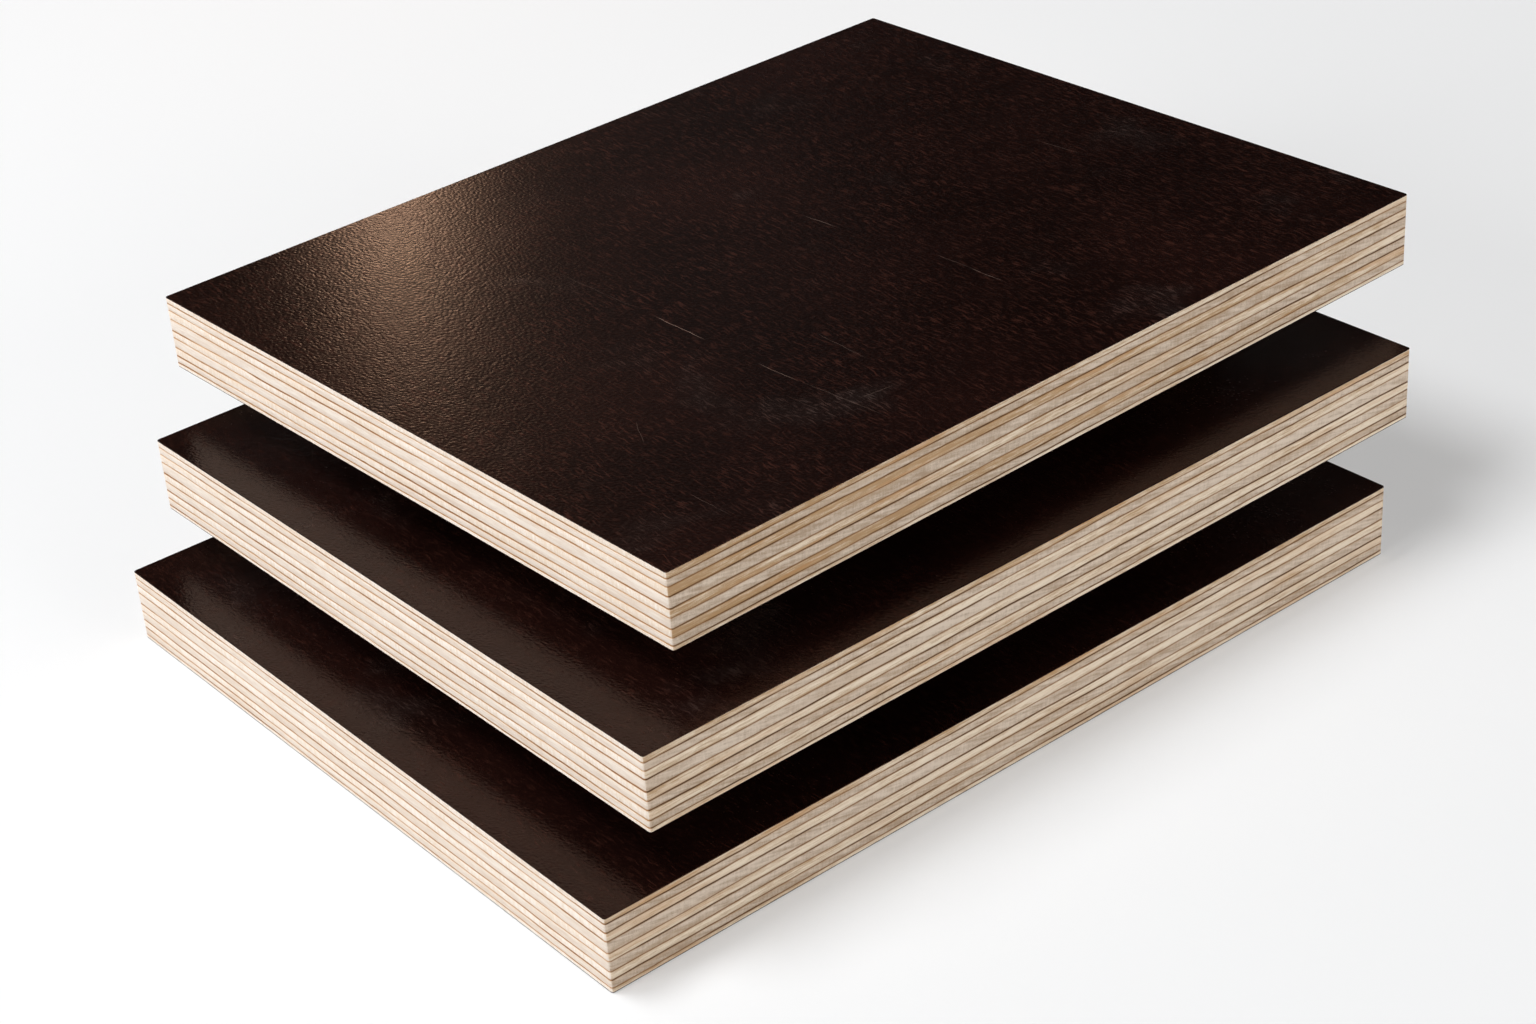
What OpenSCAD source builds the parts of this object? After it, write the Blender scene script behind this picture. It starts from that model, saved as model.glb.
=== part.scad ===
// A stack of three film-faced plywood sheets, held apart by thin wooden laths.
// Units are millimetres. The origin is the centre of the bottom sheet's underside,
// with +X along its length, +Y along its width and +Z up.

/* [Sheet] */
// Length of each sheet, along its face grain
sheet_l = 150; // [130:1:300]
// Width of each sheet
sheet_w = 120; // [90:1:240]
// Width of the sanded flat on each upright corner
corner_ease = 0.4; // [0.1:0.1:3]

/* [Layers] */
// Thickness of the phenolic film on each face
film_t = 0.15; // [0.1:0.01:0.4]
// Thickness of the veneer under the upper film
face_veneer_t = 0.9; // [0.5:0.05:2]
// Thickness of the veneer above the lower film, sanded thinner
back_veneer_t = 0.6; // [0.4:0.05:2]
// Thickness of each inner veneer that runs with the face grain
long_veneer_t = 1.4; // [1:0.05:3]
// Thickness of each cross veneer next to the face and the back
crossband_t = 1.25; // [1:0.05:3]
// Thickness of the cross veneer above the middle of the sheet
upper_core_t = 1.9; // [1:0.05:3]
// Thickness of the cross veneer below the middle of the sheet
lower_core_t = 1.6; // [1:0.05:3]

/* [Stack] */
// Middle sheet's shift along the bottom sheet's length
middle_x = 10; // [-25:0.5:25]
// Middle sheet's shift along the bottom sheet's width
middle_y = 4; // [-20:0.5:20]
// Middle sheet's turn from square with the bottom sheet, in degrees
middle_turn = 0.6; // [-5:0.1:5]
// Top sheet's shift along the bottom sheet's length
top_x = 21; // [-25:0.5:25]
// Top sheet's shift along the bottom sheet's width
top_y = 14; // [-20:0.5:20]
// Top sheet's turn from square with the bottom sheet, in degrees
top_turn = 1.8; // [-5:0.1:5]

/* [Laths] */
// Thickness of a lath, which is the gap between two sheets
lath_t = 6; // [3:0.5:25]
// Width of a lath
lath_w = 15; // [8:1:30]
// Distance of the laths from the edges of the sheet that they carry
lath_inset = 20; // [12:1:30]

/* [Hidden] */
FILM = "#241715";
LONG_GRAIN = "#ead6b8";
CROSS_GRAIN = "#c9b49c";
LATH_WOOD = "#d8bd92";

// The layers of one sheet from the bottom up: name, thickness, colour
LAYERS = [
    ["back_film", film_t, FILM],
    ["back_veneer", back_veneer_t, LONG_GRAIN],
    ["veneer_2", crossband_t, CROSS_GRAIN],
    ["veneer_3", long_veneer_t, LONG_GRAIN],
    ["veneer_4", lower_core_t, CROSS_GRAIN],
    ["veneer_5", long_veneer_t, LONG_GRAIN],
    ["veneer_6", upper_core_t, CROSS_GRAIN],
    ["veneer_7", long_veneer_t, LONG_GRAIN],
    ["veneer_8", crossband_t, CROSS_GRAIN],
    ["face_veneer", face_veneer_t, LONG_GRAIN],
    ["face_film", film_t, FILM]
];

// The sheets from the bottom up: name, shift along X, shift along Y, turn
SHEETS = [
    ["bottom_sheet", 0, 0, 0],
    ["middle_sheet", middle_x, middle_y, middle_turn],
    ["top_sheet", top_x, top_y, top_turn]
];

// The two laths under a sheet: name, side of the sheet's middle that it lies on
LATHS = [["left_lath", -1], ["right_lath", 1]];

LAYER_RANGE = [0 : len(LAYERS) - 1];
SHEET_RANGE = [0 : len(SHEETS) - 1];
CARRIED_RANGE = [1 : len(SHEETS) - 1];
LATH_RANGE = [0 : len(LATHS) - 1];

// Height of the underside of layer k above the sheet's own underside
function layer_z(k) = k == 0 ? 0 : layer_z(k - 1) + LAYERS[k - 1][1];

sheet_t = layer_z(len(LAYERS));

// Height of the underside of sheet s above the ground
function sheet_z(s) = s * (sheet_t + lath_t);

function layer_node(s, k) = str(SHEETS[s][0], "_", LAYERS[k][0]);
function lath_node(s, i) = str(LATHS[i][0], "_under_", SHEETS[s][0]);

// A sheet's sawn outline, with its four corners eased
module sheet_outline() {
    x = sheet_l / 2;
    y = sheet_w / 2;
    polygon([
        [-x + corner_ease, -y], [x - corner_ease, -y],
        [x, -y + corner_ease], [x, y - corner_ease],
        [x - corner_ease, y], [-x + corner_ease, y],
        [-x, y - corner_ease], [-x, -y + corner_ease]
    ]);
}

// Puts what is drawn on a sheet's own underside into the stack
module place_sheet(s)
    translate([SHEETS[s][1], SHEETS[s][2], sheet_z(s)])
        rotate(SHEETS[s][3])
            children();

// One film or veneer of a sheet, over the sheet's whole outline
module layer(s, k)
    color(LAYERS[k][2])
        place_sheet(s)
            translate([0, 0, layer_z(k)])
                linear_extrude(LAYERS[k][1])
                    sheet_outline();

// One of the laths that carry a sheet, across its width and clear of its edges
module lath(s, i) {
    lath_l = sheet_w - 2 * lath_inset;
    lath_x = LATHS[i][1] * (sheet_l / 2 - lath_inset - lath_w / 2);
    color(LATH_WOOD)
        place_sheet(s)
            translate([lath_x - lath_w / 2, -lath_l / 2, -lath_t])
                cube([lath_w, lath_l, lath_t]);
}

for (s = SHEET_RANGE)
    for (k = LAYER_RANGE)
        layer(s, k);

for (s = CARRIED_RANGE)
    for (i = LATH_RANGE)
        lath(s, i);
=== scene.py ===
import math

import bmesh
import bpy
from mathutils import Matrix, Quaternion, Vector, noise


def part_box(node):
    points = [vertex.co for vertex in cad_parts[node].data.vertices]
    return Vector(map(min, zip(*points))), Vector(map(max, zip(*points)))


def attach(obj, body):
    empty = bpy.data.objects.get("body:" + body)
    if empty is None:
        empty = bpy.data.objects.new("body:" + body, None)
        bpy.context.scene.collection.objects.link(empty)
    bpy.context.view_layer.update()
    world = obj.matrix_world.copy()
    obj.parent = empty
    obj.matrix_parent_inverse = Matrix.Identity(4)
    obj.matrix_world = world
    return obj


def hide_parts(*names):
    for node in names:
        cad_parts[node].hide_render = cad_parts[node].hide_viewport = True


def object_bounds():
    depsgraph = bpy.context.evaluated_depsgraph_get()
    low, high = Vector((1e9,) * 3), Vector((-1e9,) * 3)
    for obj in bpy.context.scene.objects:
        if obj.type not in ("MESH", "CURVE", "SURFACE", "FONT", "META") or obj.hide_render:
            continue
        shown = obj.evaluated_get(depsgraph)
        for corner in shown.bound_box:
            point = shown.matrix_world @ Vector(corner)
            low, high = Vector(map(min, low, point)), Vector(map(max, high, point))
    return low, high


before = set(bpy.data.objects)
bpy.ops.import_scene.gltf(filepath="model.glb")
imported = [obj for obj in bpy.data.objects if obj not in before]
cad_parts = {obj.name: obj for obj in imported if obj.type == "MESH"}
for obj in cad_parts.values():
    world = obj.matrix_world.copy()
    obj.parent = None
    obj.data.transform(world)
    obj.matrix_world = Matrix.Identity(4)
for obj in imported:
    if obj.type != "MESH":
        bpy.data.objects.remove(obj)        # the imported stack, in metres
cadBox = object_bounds()
scene = bpy.context.scene
scene.view_settings.view_transform = "Standard"
mm = 0.001
body = "root"            # nothing moves, so everything rides here

sheetNames = ["bottom_sheet", "middle_sheet", "top_sheet"]
veneerNames = ["back_veneer"] + [f"veneer_{n}" for n in range(2, 9)] + ["face_veneer"]


# Shader maths written as sums

def plug(tree, place, value):
    if isinstance(value, Wire):
        tree.links.new(value.socket, place)
    elif hasattr(value, "__len__") and len(value) == 3 and place.type == "RGBA":
        place.default_value = (*value, 1)
    else:
        place.default_value = value


class Wire:              # one output socket
    def __init__(self, tree, socket):
        self.tree = tree
        self.socket = socket

    def calc(self, operation, *values):
        maths = self.tree.nodes.new("ShaderNodeMath")
        maths.operation = operation
        for place, value in zip(maths.inputs, values):
            plug(self.tree, place, value)
        return Wire(self.tree, maths.outputs[0])

    def __add__(self, other):
        return self.calc("ADD", self, other)

    def __radd__(self, other):
        return self.calc("ADD", other, self)

    def __sub__(self, other):
        return self.calc("SUBTRACT", self, other)

    def __rsub__(self, other):
        return self.calc("SUBTRACT", other, self)

    def __mul__(self, other):
        return self.calc("MULTIPLY", self, other)

    def __rmul__(self, other):
        return self.calc("MULTIPLY", other, self)

    def __truediv__(self, other):
        return self.calc("DIVIDE", self, other)

    def __rtruediv__(self, other):
        return self.calc("DIVIDE", other, self)

    def __abs__(self):
        return self.calc("ABSOLUTE", self)

    def most(self, other):
        return self.calc("MAXIMUM", self, other)

    def least(self, other):
        return self.calc("MINIMUM", self, other)


class Graph:             # a node tree that is being filled
    def __init__(self, tree):
        self.tree = tree

    def node(self, kind, settings, sockets, output=0):
        made = self.tree.nodes.new(kind)
        for key, value in settings.items():
            setattr(made, key, value)
        for key, value in sockets.items():
            plug(self.tree, made.inputs[key], value)
        return Wire(self.tree, made.outputs[output])

    def blend(self, share, first, second):       # two colours by a share
        return self.node("ShaderNodeMix", {"data_type": "RGBA"}, {0: share, 6: first, 7: second}, 2)

    def rise(self, value, low, high):            # 0 below low, 1 above high, smooth between
        return self.node("ShaderNodeMapRange", {"interpolation_type": "SMOOTHSTEP"},
                         {"Value": value, "From Min": low, "From Max": high})

    def grain(self, vector, size, turn=(0, 0, 0)):        # a pattern's step on each axis, turned in degrees
        return self.node("ShaderNodeMapping", {"vector_type": "TEXTURE"},
                         {"Vector": vector, "Scale": size, "Rotation": [math.radians(a) for a in turn]})

    def cloud(self, vector, scale=1.0, detail=3.0, rough=0.55, warp=0.0):
        return self.node("ShaderNodeTexNoise", {"noise_dimensions": "3D"},
                         {"Vector": vector, "Scale": scale, "Detail": detail,
                          "Roughness": rough, "Distortion": warp}, "Fac")

    def stir(self, vector, scale, reach, detail=1.0):     # bends a pattern's lines
        drift = self.node("ShaderNodeTexNoise", {"noise_dimensions": "3D"},
                          {"Vector": vector, "Scale": scale, "Detail": detail}, "Color")
        drift = self.node("ShaderNodeVectorMath", {"operation": "SUBTRACT"}, {0: drift, 1: (0.5, 0.5, 0.5)})
        drift = self.node("ShaderNodeVectorMath", {"operation": "SCALE"}, {0: drift, "Scale": reach})
        return self.node("ShaderNodeVectorMath", {"operation": "ADD"}, {0: vector, 1: drift})

    def mix(self, shares, parts):                # patterns added by their shares
        return sum(share * part for share, part in zip(shares, parts))

    def relief(self, height, depth):
        return self.node("ShaderNodeBump", {}, {"Height": height, "Distance": depth, "Strength": 1.0})


class Finish(Graph):     # a material with one shader
    def __init__(self, name):
        self.material = bpy.data.materials.new(name)
        self.material.use_nodes = True
        super().__init__(self.material.node_tree)
        self.shader = self.tree.nodes["Principled BSDF"]

    def feed(self, **sockets):
        for key, value in sockets.items():
            plug(self.tree, self.shader.inputs[key.replace("_", " ")], value)
        return self.material

    def spot(self):      # the place on the object, in millimetres
        place = self.node("ShaderNodeTexCoord", {}, {}, "Object")
        return self.node("ShaderNodeVectorMath", {"operation": "SCALE"}, {"Vector": place, "Scale": 1 / mm})

    def attribute(self, name):
        return self.node("ShaderNodeAttribute", {"attribute_name": name}, {}, "Fac")


def tone(red, green, blue):                      # screen values, 0 to 255, as linear light
    return tuple((c / 255 / 12.92) if c <= 10 else ((c / 255 + 0.055) / 1.055) ** 2.4
                 for c in (red, green, blue))


# Where each sheet lies, read from its own film

def sheetPlace(sheet):
    low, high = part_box(sheet + "_face_film")
    middle = (low + high) / 2
    points = [v.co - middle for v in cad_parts[sheet + "_face_film"].data.vertices]
    along = sum(p.x * p.x for p in points)
    across = sum(p.y * p.y for p in points)
    mixed = sum(p.x * p.y for p in points)
    turn = math.atan2(2 * mixed, along - across) / 2     # the long side's direction
    square = Matrix.Rotation(-turn, 3, "Z")
    return {"middle": middle, "turn": turn,
            "length": 2 * max((square @ p).x for p in points),
            "width": 2 * max((square @ p).y for p in points)}


places = {sheet: sheetPlace(sheet) for sheet in sheetNames}


def finishPiece(name, bm, material, node):
    data = bpy.data.meshes.new(name)
    bm.to_mesh(data)
    bm.free()
    piece = bpy.data.objects.new(name, data)
    scene.collection.objects.link(piece)
    data.materials.append(material)
    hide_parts(node)
    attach(piece, body)


def layIn(bm, place, low):                       # from the sheet's own axes into the stack
    bmesh.ops.rotate(bm, verts=bm.verts, cent=(0, 0, 0), matrix=Matrix.Rotation(place["turn"], 3, "Z"))
    bmesh.ops.translate(bm, verts=bm.verts, vec=(place["middle"].x, place["middle"].y, low))


# Sheet blanks: a sawn rectangle with eased corners

blank = {
    "ease": 0.4 * mm,            # round on the upright corners
    "easeSteps": 3,
}


def sheetBlank(place, step):
    bm = bmesh.new()
    bmesh.ops.create_grid(bm, x_segments=1, y_segments=1, size=0.5)
    bmesh.ops.scale(bm, verts=bm.verts, vec=(place["length"], place["width"], 1))
    bmesh.ops.bevel(bm, geom=bm.verts[:], affect="VERTICES", offset=blank["ease"],
                    segments=blank["easeSteps"], profile=0.5, material=-1)
    for side in [e for e in bm.edges if e.calc_length() > 2 * blank["ease"]]:
        bmesh.ops.subdivide_edges(bm, edges=[side], cuts=max(1, round(side.calc_length() / step)) - 1)
    return bm


def thicken(bm, thick):                          # the flat blank becomes a layer
    raised = bmesh.ops.extrude_face_region(bm, geom=bm.faces[:])["geom"]
    bmesh.ops.translate(bm, verts=[v for v in raised if isinstance(v, bmesh.types.BMVert)],
                        vec=(0, 0, thick))


# A map for the bake: each sawn edge has a row of its own, so that thin layers keep sharp lines

mapSpace = {                     # left, bottom, width and height of both faces, and the height of a row
    "veneer": {"up": (0.01, 0.52, 0.48, 0.46), "down": (0.51, 0.52, 0.48, 0.46), "row": 0.12},
    "face_film": {"up": (0.01, 0.21, 0.98, 0.78), "down": (0.01, 0.1, 0.12, 0.1), "row": 0.02},
    "back_film": {"up": (0.01, 0.1, 0.12, 0.1), "down": (0.01, 0.21, 0.98, 0.78), "row": 0.02},
}

mapRow = {                       # shares of the map's width and of the row's height that an edge fills
    "width": 0.98,
    "margin": 0.17,
    "height": 0.66,
}


def layMap(bm, place, thick, space):
    bm.normal_update()
    uv = bm.loops.layers.uv.new("OFBake")
    for face in bm.faces:
        normal = face.normal
        flat = abs(normal.z) > 0.5
        left, bottom, width, height = space["up" if normal.z > 0 else "down"]
        endFace = abs(normal.x) > abs(normal.y)
        row = (0 if endFace else 2) + (1 if (normal.x if endFace else normal.y) > 0 else 0)
        for corner in face.loops:
            x = corner.vert.co.x / place["length"]
            y = corner.vert.co.y / place["width"]
            z = corner.vert.co.z / thick
            if flat:
                corner[uv].uv = (left + width * (x + 0.5), bottom + height * (y + 0.5))
            else:
                corner[uv].uv = (0.5 + mapRow["width"] * (y if endFace else x),
                                 space["row"] * (row + mapRow["margin"] + mapRow["height"] * z))


# Veneers: sawn edges with wandering glue lines

veneer = {
    "step": 0.8 * mm,            # spacing of points round the edge
    "rim": 1.5 * mm,             # how far in the wander dies out
    "rows": 3,                   # rows of points between the two glue lines
    "wander": 0.17 * mm,         # slow rise and fall of a glue line
    "wanderLength": 13 * mm,
    "ripple": 0.045 * mm,        # quick rise and fall
    "rippleLength": 3.2 * mm,
    "lineSeed": 7.3,             # sets the glue lines, the sheets and the ripple apart
    "sheetSeed": 31.7,
    "rippleSeed": 3.1,
    "groove": 0.035 * mm,        # how far the edge falls back at a glue line
    "lip": 0.09,                 # share of the thickness that the groove takes
    "nap": 0.03 * mm,            # sawn unevenness
    "napLength": 1.7 * mm,
    "bare": 9.0,                 # stands for a face with no glue line beside it
    "outer": 1.3,                # how much thinner the two outermost glue lines look
}

veneerStain = {                  # how brown each veneer is, from the back up
    "bottom_sheet": (0.35, 0.6, 0.25, 0.5, 0.25, 0.4, 0.25, 0.5, 0.6),
    "middle_sheet": (0.2, 0.5, 0.34, 0.42, 0.28, 0.28, 0.3, 0.45, 0.6),
    "top_sheet": (0.2, 0.5, 0.7, 0.45, 0.45, 0.5, 0.7, 0.5, 0.52),
}

stainFade = {                    # how much long veneers pale along the sheet
    "bottom_sheet": 0.15,
    "middle_sheet": 0.15,
    "top_sheet": 0.5,
}


def glueWander(sheetIndex, line, spot):          # rise of one glue line at a point of the edge
    if line in (0, len(veneerNames)):
        return 0.0                               # the films lie flat
    seed = veneer["lineSeed"] * line + veneer["sheetSeed"] * sheetIndex
    slow = noise.noise(Vector((spot.x / veneer["wanderLength"], spot.y / veneer["wanderLength"], seed)))
    quick = noise.noise(Vector((spot.x / veneer["rippleLength"], spot.y / veneer["rippleLength"],
                                seed + veneer["rippleSeed"])))
    return veneer["wander"] * slow + veneer["ripple"] * quick


def makeVeneer(sheetIndex, index, materials):
    sheet = sheetNames[sheetIndex]
    node = f"{sheet}_{veneerNames[index]}"
    last = len(veneerNames) - 1
    fade = stainFade[sheet] if index % 2 == 0 else 0
    place = places[sheet]
    low, high = (corner.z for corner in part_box(node))
    thick = high - low
    bm = sheetBlank(place, veneer["step"])
    bmesh.ops.inset_region(bm, faces=bm.faces[:], thickness=veneer["rim"], use_even_offset=True)
    thicken(bm, thick)
    uprights = [e for e in bm.edges if abs(e.verts[0].co.z - e.verts[1].co.z) > thick / 2]
    bmesh.ops.subdivide_edges(bm, edges=uprights, cuts=veneer["rows"])
    bmesh.ops.recalc_face_normals(bm, faces=bm.faces)
    below = bm.verts.layers.float.new("glueBelow")       # millimetres to the glue line underneath
    above = bm.verts.layers.float.new("glueAbove")
    stain = bm.verts.layers.float.new("stain")
    for vert in bm.verts:
        inward = Vector((math.copysign(1, vert.co.x), math.copysign(1, vert.co.y), 0))
        depth = Vector((place["length"] / 2 - abs(vert.co.x), place["width"] / 2 - abs(vert.co.y)))
        share = vert.co.z / thick
        if 0.1 < share < 0.4:                    # the outer rows move to the groove's lips
            share = veneer["lip"]
        elif 0.6 < share < 0.9:
            share = 1 - veneer["lip"]
        toBelow = share * thick / mm * (veneer["outer"] if index == 1 else 1)
        toAbove = (1 - share) * thick / mm * (veneer["outer"] if index == last - 1 else 1)
        vert[below] = toBelow if index > 0 else veneer["bare"]
        vert[above] = toAbove if index < last else veneer["bare"]
        vert[stain] = veneerStain[sheet][index] - fade * vert.co.x / place["length"]
        vert.co.z = share * thick
        if min(depth) > veneer["rim"] / 2:
            continue                             # only the sawn edge is uneven
        spot = vert.co.copy()
        vert.co.z += (1 - share) * glueWander(sheetIndex, index, spot)
        vert.co.z += share * glueWander(sheetIndex, index + 1, spot)
        saw = noise.noise(Vector((spot.x / veneer["napLength"], spot.y / veneer["napLength"],
                                  (low + spot.z) / veneer["napLength"])))
        back = veneer["nap"] * max(0.0, saw)
        if (share == 0 and index > 0) or (share == 1 and index < last):
            back += veneer["groove"]
        for axis in range(2):
            if depth[axis] < blank["ease"]:
                vert.co[axis] -= inward[axis] * back
    for face in bm.faces:
        face.smooth = abs(face.normal.z) < 0.5
    for edge in bm.edges:
        edge.smooth = len({face.smooth for face in edge.link_faces}) == 1
    layMap(bm, place, thick, mapSpace["veneer"])
    layIn(bm, place, low)
    kind = "long_veneer" if index % 2 == 0 else "cross_veneer"
    finishPiece(node + "_edge", bm, materials[kind], node)


# Films: thin, flat, with a fine round along the outer arris

film = {
    "step": 6 * mm,
    "arris": 0.07 * mm,
    "arrisSteps": 2,
}


def makeFilm(sheet, layer, material):
    node = f"{sheet}_{layer}"
    place = places[sheet]
    low, high = (corner.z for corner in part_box(node))
    thick = high - low
    bm = sheetBlank(place, film["step"])
    thicken(bm, thick)
    bmesh.ops.recalc_face_normals(bm, faces=bm.faces)
    outer = thick if layer == "face_film" else 0.0
    rim = [e for e in bm.edges if all(abs(v.co.z - outer) < thick / 4 for v in e.verts)]
    bmesh.ops.bevel(bm, geom=rim, affect="EDGES", offset=film["arris"], segments=film["arrisSteps"],
                    profile=0.5, material=-1)
    layMap(bm, place, thick, mapSpace[layer])
    layIn(bm, place, low)
    finishPiece(node + "_skin", bm, material, node)


# Laths: planed strips between the sheets

lath = {
    "arris": 0.5 * mm,
    "arrisSteps": 3,
    "cuts": 24,
    "bow": 0.12 * mm,            # planed sides are never quite straight
    "bowLength": 30 * mm,
}


def makeLath(node, place, material):
    low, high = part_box(node)
    middle = (low + high) / 2
    square = Matrix.Rotation(-place["turn"], 3, "Z")
    points = [square @ (v.co - middle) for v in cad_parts[node].data.vertices]
    size = [2 * max(p[axis] for p in points) for axis in range(3)]
    bm = bmesh.new()
    bmesh.ops.create_cube(bm, size=1)
    bmesh.ops.scale(bm, verts=bm.verts, vec=size)
    bmesh.ops.bevel(bm, geom=bm.edges[:], affect="EDGES", offset=lath["arris"], segments=lath["arrisSteps"],
                    profile=0.5, material=-1)
    lengthwise = [e for e in bm.edges if abs(e.verts[0].co.y - e.verts[1].co.y) > size[1] / 2]
    bmesh.ops.subdivide_edges(bm, edges=lengthwise, cuts=lath["cuts"], use_grid_fill=True)
    for vert in bm.verts:
        bend = noise.noise(Vector((middle.x / mm, vert.co.y / lath["bowLength"], middle.z / mm)))
        vert.co.x *= 1 - lath["bow"] / size[0] * (1 + bend)
    bmesh.ops.rotate(bm, verts=bm.verts, cent=(0, 0, 0), matrix=Matrix.Rotation(place["turn"], 3, "Z"))
    bmesh.ops.translate(bm, verts=bm.verts, vec=middle)
    bmesh.ops.recalc_face_normals(bm, faces=bm.faces)
    finishPiece(node + "_planed", bm, material, node)


# Phenolic film: near-black brown, fibre flecks, a fine pressed grain

filmLook = {
    "deep": tone(15, 5, 4),
    "warm": tone(24, 9, 7),
    "fleck": tone(71, 40, 32),
    "paleFleck": tone(92, 82, 78),
    "haze": tone(44, 36, 34),
    "scratch": tone(150, 124, 112),
    "sheen": (1.0, 0.5, 0.3),    # the resin tints what it mirrors
    "mirror": 0.22,
    "roughness": 0.24,
    "sparkle": 0.1,              # how much the grain changes the roughness
    "wrinkle": 0.042 * mm,       # depth of the pressed grain
    "bend": (0.28, 1.35, 2),     # scale, reach and detail of the bends in the fibres
    "strokes": ((0.31, 2.8, 1), (0, 0, -2)),     # steps of a pattern in millimetres, and its turn
    "cross": ((0.3, 1.3, 1), (0, 0, 22)),
    "pressed": ((0.4, 0.6, 1), (0, 0, 20)),
    "patchScale": 0.03,          # slow change of colour and gloss
    "crowdScale": 0.09,          # where flecks gather
    "hazeScale": 0.04,
    "hazeShare": 0.3,
    "scratchBend": 0.4,          # millimetres that a scratch strays from straight
}

topScratches = [                 # from, to, half width and strength, in millimetres on the top sheet
    ((-29.4, -2.5), (-29.4, -15.2), 0.06, 0.7),
    ((-29.8, 22.0), (-29.4, -1.0), 0.05, 0.13),
    ((-29.3, -25.4), (-29.1, -34.8), 0.055, 0.42),
    ((-29.0, -34.0), (-27.9, -51.6), 0.05, 0.21),
    ((-17.3, -24.8), (-18.0, -37.4), 0.05, 0.21),
    ((-27.2, -44.6), (-20.2, -45.4), 0.05, 0.21),
    ((-60.1, -46.3), (-60.0, -55.4), 0.05, 0.18),
    ((-51.9, -25.8), (-55.5, -32.3), 0.045, 0.18),
    ((8.9, 6.6), (9.4, -1.3), 0.055, 0.42),
    ((12.5, -19.5), (12.6, -27.5), 0.05, 0.23),
    ((12.5, -26.5), (12.5, -34.3), 0.055, 0.42),
    ((53.5, 0.0), (54.2, -11.6), 0.05, 0.18),
]


def scratchMask(made, spot, place, scratches):
    cos, sin = math.cos(place["turn"]), math.sin(place["turn"])
    x, y = (made.node("ShaderNodeSeparateXYZ", {}, {"Vector": spot}, axis) for axis in "XY")
    bend = filmLook["scratchBend"] * (made.cloud(spot, 0.35, 2) - 0.5)
    total = None
    for start, end, half, strength in scratches:
        first, last = (Vector((place["middle"].x / mm + cos * p[0] - sin * p[1],
                               place["middle"].y / mm + sin * p[0] + cos * p[1])) for p in (start, end))
        way = (last - first).normalized()
        along = (x - first.x) * way.x + (y - first.y) * way.y
        off = abs((x - first.x) * way.y - (y - first.y) * way.x + bend)
        run = (last - first).length
        ends = made.rise(along, 0, run * 0.25) * (1 - made.rise(along, run * 0.7, run))
        mark = (1 - made.rise(off, half * 0.4, half * 1.3)) * ends * strength
        total = mark if total is None else total.most(mark)
    return total * made.rise(made.cloud(spot, 0.5, 2), 0.25, 0.5)


def filmFinish(name, flecks, place=None, scratches=()):
    made = Finish(name)
    spot = made.spot()
    wavy = made.stir(spot, *filmLook["bend"])
    patch = made.cloud(spot, filmLook["patchScale"], 3)
    strokes = made.cloud(made.grain(wavy, *filmLook["strokes"]), 1.0, 2, 0.5)
    cross = made.cloud(made.grain(wavy, *filmLook["cross"]), 1.0, 2, 0.5)
    crowd = made.rise(made.cloud(spot, filmLook["crowdScale"], 2), 0.35, 0.68)
    fleck = made.rise(strokes, 0.52, 0.70).most(0.7 * made.rise(cross, 0.55, 0.73)) * (0.55 + 0.45 * crowd)
    haze = made.rise(made.cloud(spot, filmLook["hazeScale"], 4, 0.6, 0.3), 0.55, 0.82)
    colour = made.blend(made.rise(patch, 0.3, 0.7), filmLook["deep"], filmLook["warm"])
    colour = made.blend(filmLook["hazeShare"] * haze, colour, filmLook["haze"])
    # the share of flecks is set per film: more on the lit top film, fewer on shaded films, as painted light
    # and shade
    colour = made.blend(flecks * fleck, colour, made.blend(haze, filmLook["fleck"], filmLook["paleFleck"]))
    wrinkle = made.cloud(made.grain(wavy, *filmLook["pressed"]), 1.0, 0)
    height = 0.85 * wrinkle + 0.22 * strokes
    roughness = filmLook["roughness"] + 0.10 * (patch - 0.5) + 0.06 * haze
    roughness = roughness + filmLook["sparkle"] * (wrinkle - 0.5)
    if scratches:
        mark = scratchMask(made, spot, place, scratches)
        colour = made.blend(mark, colour, filmLook["scratch"])
        height = height - 0.2 * mark
    return made.feed(Base_Color=colour, Roughness=roughness,
                     Normal=made.relief(height, filmLook["wrinkle"]),
                     Specular_Tint=filmLook["sheen"], Specular_IOR_Level=filmLook["mirror"])


# Veneer edges: pale birch, sawn, with brown glue at each line

# The long sides (the ±Y faces) take darker, browner colours than the ends, heart and glue included: painted
# shade over their own grain.
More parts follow.
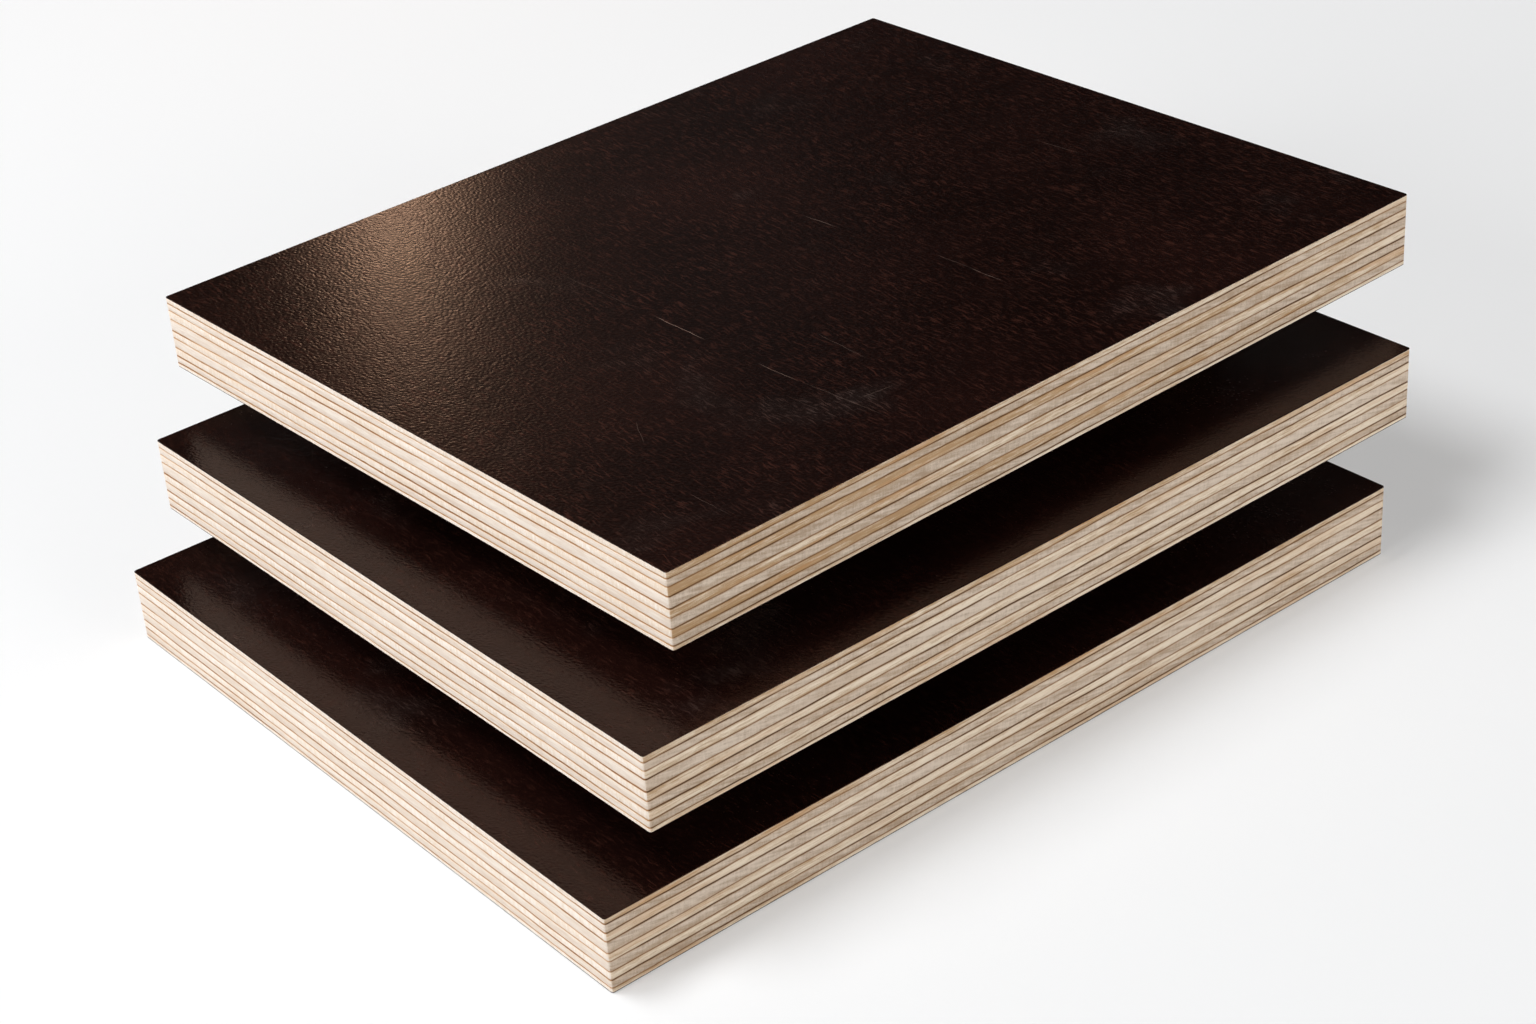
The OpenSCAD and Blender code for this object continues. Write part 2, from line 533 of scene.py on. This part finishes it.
veneerLook = {
    "long_veneer": {             # grain runs along the sheet: end grain on the ends
        "endwise": (0.16, 0.30, 0.22, 0.32),     # shares of slant, ticks, figure and speckle
        "end": tone(248, 240, 233), "endDark": tone(231, 213, 194), "endWarm": tone(233, 209, 184),
        "side": tone(243, 228, 208), "shadedSideDark": tone(184, 150, 112), "shadedSideWarm": tone(197, 147, 97),
    },
    "cross_veneer": {            # grain runs across: end grain on the long sides
        "endwise": (0.40, 0.15, 0.26, 0.19),
        "end": tone(239, 229, 219), "endDark": tone(220, 203, 188), "endWarm": tone(225, 206, 188),
        "side": tone(225, 209, 193), "shadedSideDark": tone(178, 155, 133), "shadedSideWarm": tone(188, 162, 135),
    },
    "glueEnd": (tone(184, 129, 64), tone(140, 87, 30)),          # thin and thick glue; the long sides' pair below is darker, as painted shade
    "glueShadedSide": (tone(138, 95, 43), tone(82, 52, 16)),
    "glueHalf": 0.14,            # millimetres either side of the line
    "soakEnd": tone(224, 188, 148),              # wood that the glue has stained; the long sides' copy below is darker, as painted shade
    "soakShadedSide": tone(178, 129, 80),
    "soak": (0.03, 0.32),        # millimetres from the line where the stain starts to fade and ends
    "lengthwise": (0.30, 0.24, 0.34, 0.12),      # shares of fibres, figure, streaks and speckle
    "darkens": (0.38, 0.62),     # grain values from pale to dark
    "endStain": 0.07,            # how far a veneer's stain shifts them on ends and sides
    "sideStain": 0.22,
    "endHeart": 0.4,             # how much of the heartwood shows on the ends
    "depth": 0.03 * mm,
}

veneerGrain = {                  # steps of each pattern in millimetres, and its turn in degrees
    "fibres": ((20, 20, 0.34),),
    "slant": ((4.5, 4.5, 0.42), (10, 13, 0)),
    "ticks": ((0.42, 0.42, 2.4), (0, 8, 0)),
    "figure": ((12, 12, 1.3),),
    "streaks": ((2.4, 2.4, 0.24),),
    "heart": ((24, 24, 1.2),),
    "glue": ((22, 22, 1.5),),
}


def veneerFinish(kind):
    look = veneerLook[kind]
    made = Finish(kind + "Edge")
    spot = made.spot()
    normal = made.node("ShaderNodeTexCoord", {}, {}, "Normal")
    facing = made.node("ShaderNodeSeparateXYZ", {}, {"Vector": normal}, "Y")
    side = made.rise(abs(facing), 0.6, 0.8)      # 1 on the long sides, 0 on the ends; it picks the long sides' darker colours, painted shade
    laid = {name: made.grain(spot, *steps) for name, steps in veneerGrain.items()}
    fibres = made.cloud(laid["fibres"], 1.0, 4, 0.6)
    slant = made.cloud(laid["slant"], 1.0, 3, 0.6)
    ticks = made.cloud(laid["ticks"], 1.0, 2, 0.5)
    speckle = made.cloud(spot, 5.5, 3, 0.6)
    figure = made.cloud(laid["figure"], 1.0, 3, 0.5, 0.4)
    streaks = made.cloud(laid["streaks"], 1.0, 3, 0.6)
    lengthwise = made.mix(veneerLook["lengthwise"], (fibres, figure, streaks, speckle))
    endwise = made.mix(look["endwise"], (slant, ticks, figure, speckle))
    first, second = (endwise, lengthwise) if kind == "long_veneer" else (lengthwise, endwise)
    stain = made.attribute("stain")
    brown = stain - 0.5
    heart = made.rise(made.cloud(laid["heart"], 1.0, 3, 0.5), 0.50, 0.68) * (0.15 + 0.6 * stain)
    endDark = made.rise(first + veneerLook["endStain"] * brown, *veneerLook["darkens"])
    endColour = made.blend(endDark, look["end"], look["endDark"])
    endColour = made.blend(veneerLook["endHeart"] * heart, endColour, look["endWarm"])
    shadedSideDark = made.rise(second + veneerLook["sideStain"] * brown, *veneerLook["darkens"])
    shadedSideColour = made.blend(shadedSideDark, look["side"], look["shadedSideDark"])
    shadedSideColour = made.blend(heart, shadedSideColour, look["shadedSideWarm"])
    # painted shade: the long sides take the darker colours
    colour = made.blend(side, endColour, shadedSideColour)
    near = made.attribute("glueBelow").least(made.attribute("glueAbove"))
    thick = made.rise(made.cloud(laid["glue"], 1.0, 3, 0.6), 0.36, 0.66)
    ragged = made.cloud(spot, 0.6, 3, 0.6)
    soak = (1 - made.rise(near, *veneerLook["soak"])) * (0.22 + 0.4 * thick)
    # glue stain and glue lines are painted darker on the long sides, as shade
    colour = made.blend(soak, colour, made.blend(side, veneerLook["soakEnd"], veneerLook["soakShadedSide"]))
    glue = 1 - made.rise(near / (veneerLook["glueHalf"] * (0.42 + 0.36 * thick + 0.5 * ragged)), 0.35, 1.5)
    endGlue, shadedSideGlue = (made.blend(thick, *veneerLook[end]) for end in ("glueEnd", "glueShadedSide"))
    colour = made.blend(glue * (0.82 + 0.18 * thick), colour, made.blend(side, endGlue, shadedSideGlue))
    height = 0.4 * fibres + 0.3 * slant + 0.3 * speckle - 0.6 * glue
    return made.feed(Base_Color=colour, Roughness=0.62 + 0.2 * (speckle - 0.5),
                     Normal=made.relief(height, veneerLook["depth"]), Specular_IOR_Level=0.25)


# Laths: plain planed softwood

lathLook = {
    "pale": tone(222, 190, 142),
    "late": tone(186, 140, 88),
    "rings": (1.8, 55, 1.8),     # steps of the grain in millimetres
    "fibre": (0.25, 8, 0.25),
    "depth": 0.05 * mm,
}


def lathFinish():
    made = Finish("planedLath")
    spot = made.spot()
    rings = made.cloud(made.grain(spot, lathLook["rings"]), 1.0, 4, 0.55, 0.8)
    fibre = made.cloud(made.grain(spot, lathLook["fibre"]), 1.0, 3, 0.6)
    dark = made.rise(0.7 * rings + 0.3 * fibre, 0.42, 0.62)
    colour = made.blend(dark, lathLook["pale"], lathLook["late"])
    height = 0.4 * rings + 0.6 * fibre
    return made.feed(Base_Color=colour, Roughness=0.6 + 0.2 * (fibre - 0.5),
                     Normal=made.relief(height, lathLook["depth"]), Specular_IOR_Level=0.3)


# Fleck shares: the top film's many flecks stand partly for glints on its lit fibres, a painted highlight;
# the lower and back films get fewer, as painted shade.
shadedFilm = filmFinish("shadedPhenolicFilm", 0.32)
markedFilm = filmFinish("markedFilm", 0.58, places["top_sheet"], topScratches)
veneerMaterials = {kind: veneerFinish(kind) for kind in ("long_veneer", "cross_veneer")}
lathMaterial = lathFinish()
print("finishes made")

for sheetIndex, sheet in enumerate(sheetNames):
    for index in range(len(veneerNames)):
        makeVeneer(sheetIndex, index, veneerMaterials)
    for layer in ("back_film", "face_film"):
        marked = sheet == "top_sheet" and layer == "face_film"
        makeFilm(sheet, layer, markedFilm if marked else shadedFilm)
    print(sheet, "made")

for sheet in sheetNames[1:]:
    for edge in ("left", "right"):
        makeLath(f"{edge}_lath_under_{sheet}", places[sheet], lathMaterial)
print("laths made")


# Studio: white floor, pale low wall, dark above, soft lamps

studio = {
    "floorSize": 6.0,
    "floorDrop": 0.05 * mm,      # keeps the floor off the lowest film
    "floor": (0.885, 0.9, 0.922),                # a little cool under warm lamps
    "bounce": (0.3, 0.3, 0.3),   # what the floor throws back on the stack
    "floorGlow": 0.30,           # share of plain white that the camera sees
    "wall": (0.6, 0.6, 0.6),
    "ceiling": (0.012, 0.012, 0.012),
    "wallTop": (0.02, 0.14),     # where the wall fades, as height over distance
}

lamps = {
    "leftKey": {"at": (-0.98, 0.04, 0.40), "size": 0.62, "power": 8.2, "tint": (1.0, 0.985, 0.965)},
    "frontFill": {"at": (0.22, -1.0, 0.24), "size": 0.68, "power": 6.8, "tint": (1.0, 0.975, 0.94)},
    "overhead": {"at": (-0.36, 0.42, 1.15), "size": 0.6, "power": 10.2, "tint": (1.0, 1.0, 1.0)},
    "rightFill": {"at": (1.0, -0.15, 0.30), "size": 0.5, "power": 1.5, "tint": (1.0, 0.98, 0.95)},
    "backFill": {"at": (-0.30, 1.0, 0.30), "size": 0.5, "power": 2.0, "tint": (1.0, 0.98, 0.95)},
    "backGlow": {"at": (0.1487, 0.3482, 0.166), "size": 0.019, "tall": 0.065, "power": 0.0385,
                 "tint": (1.0, 0.66, 0.445)},
    "backSheen": {"at": (0.295, 0.46, 0.311), "size": 0.2, "power": 0.0075, "tint": (1.0, 0.95, 0.95)},
}


def makeFloor():
    bm = bmesh.new()
    bmesh.ops.create_grid(bm, x_segments=1, y_segments=1, size=studio["floorSize"] / 2)
    bmesh.ops.translate(bm, verts=bm.verts, vec=(0, 0, -studio["floorDrop"]))
    data = bpy.data.meshes.new("floor")
    bm.to_mesh(data)
    bm.free()
    floor = bpy.data.objects.new("floor", data)
    scene.collection.objects.link(floor)
    made = Finish("paleFloor")
    glow = made.node("ShaderNodeEmission", {}, {"Color": (1, 1, 1), "Strength": 1.0})
    seen = made.node("ShaderNodeLightPath", {}, {}, "Is Camera Ray")
    for ray in ("Is Glossy Ray", "Is Transmission Ray"):
        seen = seen.most(made.node("ShaderNodeLightPath", {}, {}, ray))
    colour = made.blend(seen, studio["bounce"], studio["floor"])
    made.feed(Base_Color=colour, Roughness=0.9, Specular_IOR_Level=0.0)
    shader = Wire(made.tree, made.shader.outputs["BSDF"])
    mixed = made.node("ShaderNodeMixShader", {}, {0: seen * studio["floorGlow"], 1: shader, 2: glow})
    under = made.node("ShaderNodeNewGeometry", {}, {}, "Backfacing")
    clear = made.node("ShaderNodeBsdfTransparent", {}, {})       # the floor is seen from above only
    mixed = made.node("ShaderNodeMixShader", {}, {0: under, 1: mixed, 2: clear})
    made.tree.links.new(mixed.socket, made.tree.nodes["Material Output"].inputs["Surface"])
    data.materials.append(made.material)


def makeWorld():
    world = bpy.data.worlds.new("studio")
    world.use_nodes = True
    scene.world = world
    made = Graph(world.node_tree)
    way = made.node("ShaderNodeTexCoord", {}, {}, "Generated")
    height = made.node("ShaderNodeSeparateXYZ", {}, {"Vector": way}, "Z")
    colour = made.blend(made.rise(height, *studio["wallTop"]), studio["wall"], studio["ceiling"])
    plug(made.tree, made.tree.nodes["Background"].inputs["Color"], colour)


def makeLamp(name, kind):
    data = bpy.data.lights.new(name, "AREA")
    data.shape = "ELLIPSE"
    data.size = kind["size"]
    data.size_y = kind.get("tall", kind["size"])
    data.energy = kind["power"]
    data.color = kind["tint"]
    lamp = bpy.data.objects.new(name, data)
    scene.collection.objects.link(lamp)
    lamp.location = kind["at"]
    lamp.visible_camera = False
    lamp.rotation_mode = "QUATERNION"
    aim = (cadBox[0] + cadBox[1]) / 2 - lamp.location
    lamp.rotation_quaternion = aim.to_track_quat("-Z", "Y")


# Camera, as the photo was taken

photoView = {
    "azimuth": -37.73,
    "elevation": 30.25,
    "roll": -4.35,
    "distance": 428.6 * mm,
    "aim": (-8.2 * mm, -13.6 * mm, 24 * mm),
    "lens": 68.63,
    "sensor": 36.0,
}


def makeCamera():
    data = bpy.data.cameras.new("photoCamera")
    data.lens = photoView["lens"]
    data.sensor_width = photoView["sensor"]
    data.clip_start = 10 * mm
    camera = bpy.data.objects.new("photoCamera", data)
    scene.collection.objects.link(camera)
    azimuth = math.radians(photoView["azimuth"])
    elevation = math.radians(photoView["elevation"])
    back = Vector((math.sin(azimuth) * math.cos(elevation), -math.cos(azimuth) * math.cos(elevation),
                   math.sin(elevation)))
    camera.location = Vector(photoView["aim"]) + back * photoView["distance"]
    camera.rotation_mode = "QUATERNION"
    roll = Quaternion((0, 0, 1), math.radians(photoView["roll"]))
    camera.rotation_quaternion = (-back).to_track_quat("-Z", "Y") @ roll
    scene.camera = camera


makeFloor()
makeWorld()
for name, kind in lamps.items():
    makeLamp(name, kind)
makeCamera()
print("studio made")
